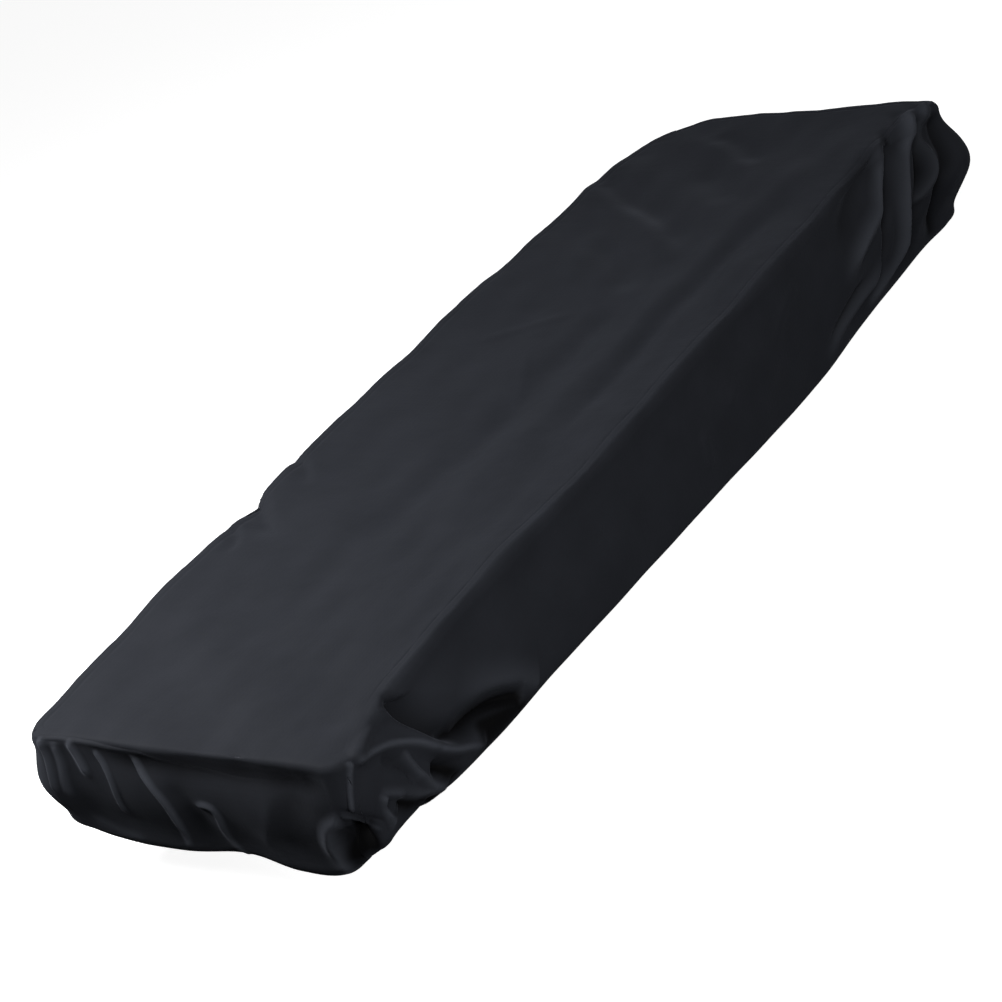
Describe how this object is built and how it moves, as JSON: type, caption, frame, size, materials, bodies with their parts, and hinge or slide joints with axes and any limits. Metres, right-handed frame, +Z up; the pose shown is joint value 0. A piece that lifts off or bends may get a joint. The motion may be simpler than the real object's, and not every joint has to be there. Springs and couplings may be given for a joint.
{
  "type": "piano cover",
  "caption": "Fitted dust cover for a long keyboard instrument: flat top panel, loose skirts hanging in folds, hem drawn in underneath.",
  "frame": {"origin": "middle of the top panel, at the level of its face that rests on what the cover fits over", "axes": "+X along the cover from its near end to its far end, +Z up, -Y towards the long skirt that shows in the picture"},
  "size_m": [1.4044, 0.4393, 0.1816],
  "materials": {
    "cloth": "matt charcoal black stretch knit with a soft sheen"
  },
  "bodies": {
    "root": {"top_panel": "cloth", "front_skirt": "cloth", "far_end_skirt": "cloth", "back_skirt": "cloth", "near_end_skirt": "cloth"}
  },
  "joints": []
}
